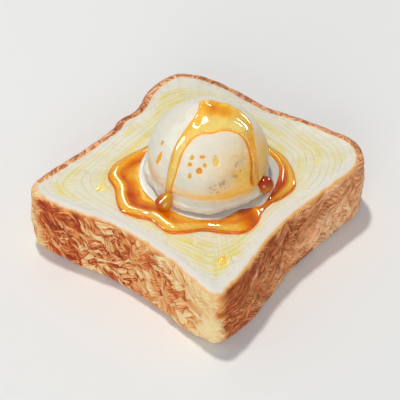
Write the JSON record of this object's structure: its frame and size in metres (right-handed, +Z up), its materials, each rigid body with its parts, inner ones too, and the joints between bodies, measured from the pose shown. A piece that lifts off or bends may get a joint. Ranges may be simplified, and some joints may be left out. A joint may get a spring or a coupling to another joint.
{
  "type": "honey toast",
  "caption": "Thick slice of toasted mountain loaf with a crust, topped by a scoop of vanilla ice cream standing in its melt, with honey run over the scoop and pooled round it.",
  "frame": {"origin": "under the middle of the slice's bounding box, on the face it rests on", "axes": "+Z up out of the cut face that carries the scoop, +Y from the bottom crust of the loaf to its crown, +X across the slice"},
  "size_m": [0.119, 0.1269, 0.0738],
  "materials": {
    "bread": "matt: pale open crumb inside a browned, torn crust",
    "ice_cream": "soft satin, icy and a little wet where it melts",
    "honey": "wet gloss, clear amber"
  },
  "bodies": {
    "root": {"toast": "bread", "ice_cream": "ice_cream", "honey_pool": "honey", "honey_drape": "honey"}
  },
  "joints": []
}
